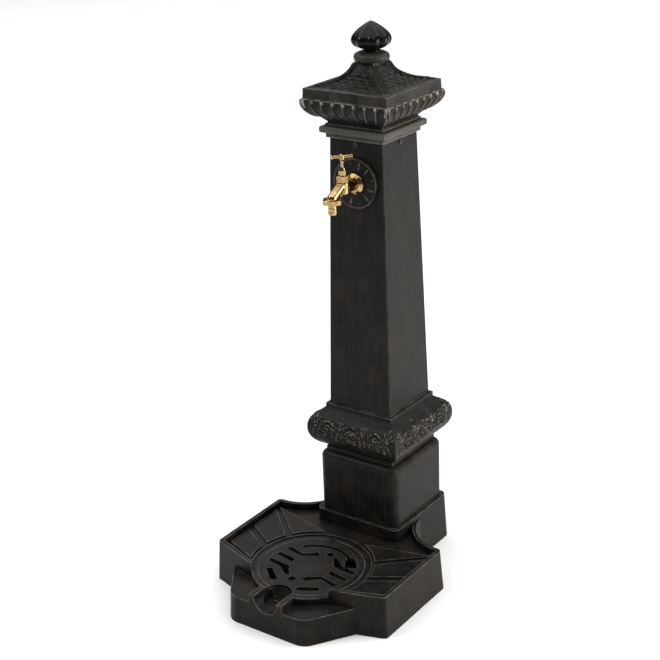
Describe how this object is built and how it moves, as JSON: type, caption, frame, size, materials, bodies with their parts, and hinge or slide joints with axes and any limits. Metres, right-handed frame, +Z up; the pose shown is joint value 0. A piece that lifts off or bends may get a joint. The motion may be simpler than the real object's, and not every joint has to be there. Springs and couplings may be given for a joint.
{
  "type": "garden fountain",
  "caption": "Free-standing cast iron garden fountain: square column with a brass bib tap over a basin with a lift-out drain grate and a front chute.",
  "frame": {"origin": "on the ground, under the vertical axis of the column and its plinth", "axes": "+Z up along the column, -Y to the front where the tap and basin are, +X to the right of someone who faces the tap"},
  "size_m": [0.3748, 0.4734, 1],
  "materials": {
    "black_iron": "satin black paint with dry-brushed grey-brown edges",
    "plate_grey": "worn black paint, lighter on its edges",
    "gloss_black": "gloss black",
    "polished_brass": "polished",
    "yellow_brass": "machined",
    "copper": "drawn tube",
    "zinc_steel": "zinc plated",
    "black_rubber": "matt",
    "dark_steel": "blackened"
  },
  "bodies": {
    "fountain": {"basin_casting": "black_iron", "sump_outlet": "yellow_brass", "sump_seal": "black_rubber", "sump_nut": "yellow_brass", "plinth": "black_iron", "torus_moulding": "black_iron", "column_shaft": "black_iron", "collar_plate": "plate_grey", "cap_screws": "dark_steel", "capital": "black_iron", "roof": "black_iron", "neck_ring": "gloss_black", "finial": "gloss_black", "tie_rod": "zinc_steel", "tie_rod_washer": "zinc_steel", "tie_rod_nut": "zinc_steel", "roof_washer": "zinc_steel", "roof_nut": "zinc_steel", "rosette": "black_iron", "wall_flange": "polished_brass", "tap_body": "polished_brass", "back_washer": "zinc_steel", "back_nut": "yellow_brass", "bonnet_seal": "black_rubber", "tap_bonnet": "polished_brass", "gland_packing": "black_rubber", "gland_nut": "polished_brass", "union_nut": "polished_brass", "hose_tail": "polished_brass", "tail_washer": "black_rubber", "supply_pipe": "copper", "supply_elbow": "yellow_brass", "inlet_coupling": "yellow_brass", "compression_nuts": "yellow_brass", "olives": "copper"},
    "grate": {"drain_grate": "black_iron"},
    "valve": {"jumper_valve": "yellow_brass", "valve_washer": "black_rubber", "washer_nut": "yellow_brass"},
    "spindle": {"spindle": "polished_brass", "handle_bar": "polished_brass"}
  },
  "joints": [
    {"name": "valve_rise", "type": "slide", "parent": "fountain", "child": "valve", "axis": [0, 0, 1], "range_m": [0, 0.00453]},
    {"name": "handle_turn", "type": "hinge", "parent": "valve", "child": "spindle", "pos_m": [0, -0.097, 0.76], "axis": [0, 0, 1], "range_deg": [0, 900]},
    {"name": "grate_lift", "type": "slide", "parent": "fountain", "child": "grate", "axis": [0, 0, 1], "range_m": [0, 0.06]}
  ],
  "couplings": [
    {"joint": "handle_turn", "follows": "valve_rise", "rad_per_m": 3463.7}
  ]
}
